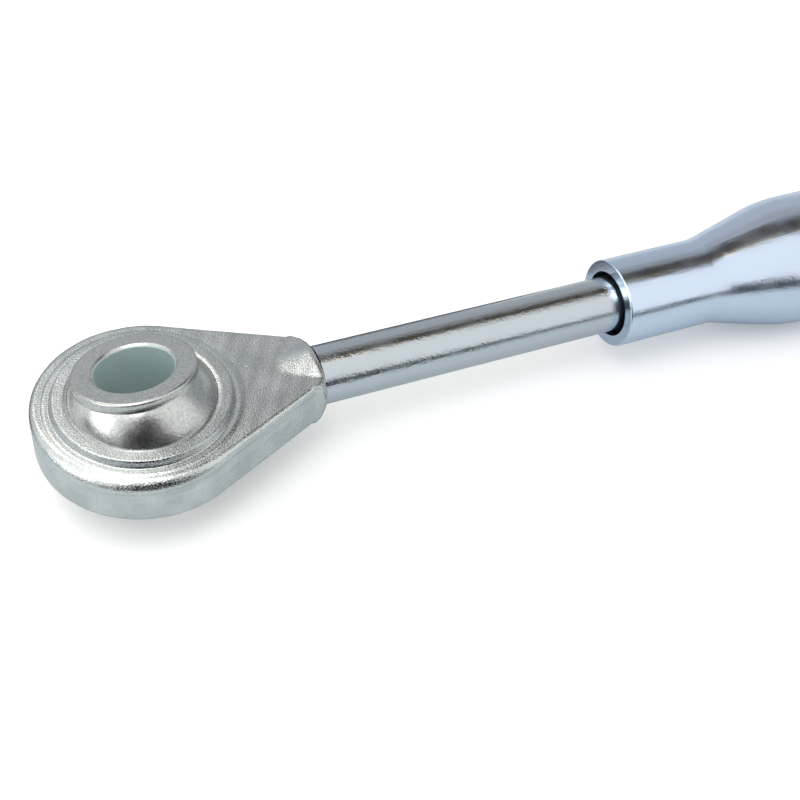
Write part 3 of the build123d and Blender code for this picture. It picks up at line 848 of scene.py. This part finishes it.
class LinkFinishSettings(bpy.types.PropertyGroup):
    """Colours of the plated and plastic surfaces, and how coarse their patterns are drawn, in metres."""

    grain: FloatProperty(
        name="Grain", description="Width of the blasting's dimples",
        default=0.6 * MM, unit="LENGTH", precision=5,
    )
    draw_lines: FloatProperty(
        name="Drawing lines", description="Width of the drawing lines",
        default=2.4 * MM, unit="LENGTH", precision=5,
    )
    forged_tint: FloatVectorProperty(
        name="Forged zinc", description="Zinc plate on the forged eyes",
        subtype="COLOR", default=linear("#DADEDE"),
    )
    forged_shade: FloatVectorProperty(
        name="Forged shade", description="Darker clouds of the forged eyes",
        subtype="COLOR", default=linear("#C8CDCD"),
    )
    ball_tint: FloatVectorProperty(
        name="Ball zinc", description="Zinc plate on the swivel balls",
        subtype="COLOR", default=linear("#D8DAD8"),
    )
    bore_tint: FloatVectorProperty(
        name="Bore", description="Dull plate in the balls' bores",
        subtype="COLOR", default=linear("#9CB8B8"),
    )
    bar_tint: FloatVectorProperty(
        name="Bar zinc", description="Zinc plate on the drawn bar",
        subtype="COLOR", default=linear("#CAD2D8"),
    )
    tube_tint: FloatVectorProperty(
        name="Tube zinc", description="Zinc plate on the drawn tube",
        subtype="COLOR", default=linear("#D8E6FA"),
    )
    turned_tint: FloatVectorProperty(
        name="Turned zinc", description="Zinc plate on turned pieces and nuts",
        subtype="COLOR", default=linear("#CBD0D6"),
    )
    weld_tint: FloatVectorProperty(
        name="Weld", description="Zinc plate on the weld beads",
        subtype="COLOR", default=linear("#B9BEC2"),
    )
    nipple_tint: FloatVectorProperty(
        name="Nipple", description="Yellow-passivated zinc of the grease nipple",
        subtype="COLOR", default=linear("#CDB877"),
    )
    spring_tint: FloatVectorProperty(
        name="Spring steel", description="Bare spring wire and hardened pin",
        subtype="COLOR", default=linear("#8E9094"),
    )
    acetal_tint: FloatVectorProperty(
        name="Acetal", description="Guide bands",
        subtype="COLOR", default=linear("#D9D3C3"),
    )


class LinkStudioSettings(bpy.types.PropertyGroup):
    """Lamps, cards and camera of the studio."""

    lens: FloatProperty(
        name="Lens", description="Focal length on a 36 mm sensor", default=55.32, unit="CAMERA"
    )
    key: FloatProperty(
        name="Key lamp", description="Power of the soft box overhead", default=3.0, unit="POWER"
    )
    warm: FloatProperty(
        name="Warm lamp", description="Power that the warm lamps take shares of", default=0.8, unit="POWER"
    )
    sky: FloatProperty(
        name="Sky", description="Strength of the even light from all round", default=1.0
    )
    wall: FloatProperty(
        name="Wall", description="Brightness of the pale wall that the metal mirrors", default=0.58
    )


class LINK_OT_forged_eyes(bpy.types.Operator):
    """Builds both forged eyes with their stepped ring, leaning bevel, ramp and turned nose"""

    bl_idname = "stabilizer_link.forged_eyes"
    bl_label = "Forged Eyes"

    def execute(self, context):
        material = forged_zinc(context.scene.link_finish)
        relief = context.scene.link_relief
        edge, trim_depth = relief.edge / MM, relief.trim / MM
        far_x = mount_x("tube_end_bore")
        for name, body, centre_x, turn in (("rod_eye", "rod", 0.0, 1), ("tube_eye", "screw", far_x, -1)):
            points = eye_points(560, centre_x, turn, edge, trim_depth)
            piece = surface(name + "_forging", points, True, True)
            finish_piece(piece, body, material, (name,))
        return {"FINISHED"}


class LINK_OT_swivel_balls(bpy.types.Operator):
    """Builds both bored balls with their rounded collars"""

    bl_idname = "stabilizer_link.swivel_balls"
    bl_label = "Swivel Balls"

    def execute(self, context):
        finish = context.scene.link_finish
        for node, body in (("rod_ball", "rod_end"), ("tube_ball", "tube_end")):
            axis = mount(body + "_bore")["axis"]
            centre = (mount_x(body + "_bore"), 0.0, 0.0)
            material = ball_zinc(node + "_zinc_plate", finish, (centre[0] * MM, 0.0, 0.0), axis)
            piece = turned_surface(node + "_ground", ball_profile(), axis, centre, 240)
            finish_piece(piece, body, material, (node,))
        return {"FINISHED"}


class LINK_OT_drawn_steel(bpy.types.Operator):
    """Finishes the bar and the tube, which keep their CAD shape"""

    bl_idname = "stabilizer_link.drawn_steel"
    bl_label = "Drawn Steel"

    def execute(self, context):
        finish = context.scene.link_finish
        bar = drawn_zinc("drawn_bar_zinc_plate", tuple(finish.bar_tint), 0.2, 1.0, finish.draw_lines)
        dress("slide_rod", bar)
        tube = drawn_zinc("drawn_tube_zinc_plate", tuple(finish.tube_tint), 0.2, 0.4, finish.draw_lines)
        dress("outer_tube", tube)
        return {"FINISHED"}


class LINK_OT_screw_and_welds(bpy.types.Operator):
    """Cuts the thread of the adjusting screw and lays the weld beads of the latch boss and the bush"""

    bl_idname = "stabilizer_link.screw_and_welds"
    bl_label = "Screw and Welds"

    def execute(self, context):
        finish, relief = context.scene.link_finish, context.scene.link_relief
        turned = turned_zinc("rolled_thread_zinc_plate", tuple(finish.turned_tint), 0.26)
        weld = turned_zinc("weld_bead_zinc_plate", tuple(finish.weld_tint), 0.36)
        screw = surface("spindle_thread", thread_points(relief.thread / MM), False, True)
        finish_piece(screw, "screw", turned, ("spindle",))
        u = np.arange(360) / 360 * 2 * np.pi
        latch_x = joint_x("ring_swing")
        side = BOSS_WELD["radius"] * np.sin(u)
        path = np.stack(
            [latch_x + BOSS_WELD["radius"] * np.cos(u), -np.sqrt(TUBE_RADIUS**2 - side**2), side], axis=-1
        )
        out = np.stack([np.cos(u), np.zeros_like(u), np.sin(u)], axis=-1)
        up = np.broadcast_to((0.0, -1.0, 0.0), out.shape)
        points = bead_points(path, out, up, relief.boss_bead / MM, BOSS_WELD)
        boss = surface("boss_weld", points, True, True)
        finish_piece(boss, "tube", weld)
        out = np.stack([np.zeros_like(u), np.cos(u), np.sin(u)], axis=-1)
        along = np.broadcast_to((1.0, 0.0, 0.0), out.shape)
        path = BUSH_WELD["radius"] * out + (BUSH_WELD["x"], 0, 0)
        points = bead_points(path, out, along, relief.bush_bead / MM, BUSH_WELD)
        bush = surface("bush_weld", points, True, True)
        finish_piece(bush, "tube", weld)
        return {"FINISHED"}


class LINK_OT_latch_spring(bpy.types.Operator):
    """Winds the latch spring, which the pulled latch presses together against its cap"""

    bl_idname = "stabilizer_link.latch_spring"
    bl_label = "Latch Spring"

    def execute(self, context):
        steel = turned_zinc("bare_spring_steel_wire", tuple(context.scene.link_finish.spring_tint), 0.34)
        latch_x = joint_x("ring_swing")
        piece = surface("latch_spring_coil", spring_points(latch_x), False, True)
        finish_piece(piece, "tube", steel, ("latch_spring",))
        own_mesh(piece)
        return {"FINISHED"}


class LINK_OT_turned_steel(bpy.types.Operator):
    """Finishes the collars, latch, nuts, ring, nipple and bands, which keep their CAD shape"""

    bl_idname = "stabilizer_link.turned_steel"
    bl_label = "Turned Steel"

    def execute(self, context):
        finish = context.scene.link_finish
        turned = turned_zinc("turned_steel_zinc_plate", tuple(finish.turned_tint), 0.28)
        wire = turned_zinc("bent_wire_zinc_plate", tuple(finish.turned_tint), 0.2)
        pin = turned_zinc("ground_hardened_steel", tuple(finish.spring_tint), 0.3)
        nipple = turned_zinc("turned_steel_yellow_zinc", tuple(finish.nipple_tint), 0.24)
        plastic = acetal(finish)
        for node in ("lock_collar", "rear_collar", "rod_washer", "rod_nut"):
            dress(node, turned)
        for node in ("latch_boss", "latch_plunger", "latch_cap", "thread_bush", "lock_nut"):
            dress(node, turned)
        for node, material in (("pull_ring", wire), ("stop_pin", pin), ("grease_nipple", nipple)):
            dress(node, material)
        for node in ("front_band", "guide_band"):
            dress(node, plastic)
        return {"FINISHED"}


class LINK_OT_studio(bpy.types.Operator):
    """Sets the camera, the lamps, the glowing cards of painted reflection, the pale floor and the even sky
    """

    bl_idname = "stabilizer_link.studio"
    bl_label = "Studio"

    def execute(self, context):
        studio = context.scene.link_studio
        place_camera(context.scene, studio)
        place_floor()
        place_lamps(studio)
        place_reflection_cards(studio)
        place_sky(context.scene, studio)
        context.scene.view_settings.view_transform = "Standard"
        return {"FINISHED"}


class LINK_PT_panel(bpy.types.Panel):
    """Lists the link's pieces and settings"""

    bl_idname = "LINK_PT_panel"
    bl_label = "Stabilizer Link"
    bl_space_type = "VIEW_3D"
    bl_region_type = "UI"
    bl_category = "Link"

    def draw(self, context):
        column = self.layout.column()
        for operator in OPERATORS:
            column.operator(operator.bl_idname)
        scene = context.scene
        for group in (scene.link_relief, scene.link_finish, scene.link_studio):
            box = self.layout.box()
            for key in group.__annotations__:
                box.prop(group, key)


OPERATORS = (
    LINK_OT_forged_eyes,
    LINK_OT_swivel_balls,
    LINK_OT_drawn_steel,
    LINK_OT_screw_and_welds,
    LINK_OT_latch_spring,
    LINK_OT_turned_steel,
    LINK_OT_studio,
)
CLASSES = (LinkReliefSettings, LinkFinishSettings, LinkStudioSettings, *OPERATORS, LINK_PT_panel)


def register():
    """Adds the classes and the three groups of settings to Blender."""
    for cls in CLASSES:
        bpy.utils.register_class(cls)
    bpy.types.Scene.link_relief = PointerProperty(type=LinkReliefSettings)
    bpy.types.Scene.link_finish = PointerProperty(type=LinkFinishSettings)
    bpy.types.Scene.link_studio = PointerProperty(type=LinkStudioSettings)


def unregister():
    """Takes the settings and the classes out of Blender again."""
    del bpy.types.Scene.link_studio
    del bpy.types.Scene.link_finish
    del bpy.types.Scene.link_relief
    for cls in reversed(CLASSES):
        bpy.utils.unregister_class(cls)


def main():
    """Dresses the frame."""
    register()
    bpy.ops.stabilizer_link.forged_eyes()
    bpy.ops.stabilizer_link.swivel_balls()
    bpy.ops.stabilizer_link.drawn_steel()
    bpy.ops.stabilizer_link.screw_and_welds()
    bpy.ops.stabilizer_link.latch_spring()
    bpy.ops.stabilizer_link.turned_steel()
    bpy.ops.stabilizer_link.studio()


if __name__ == "__main__":
    main()
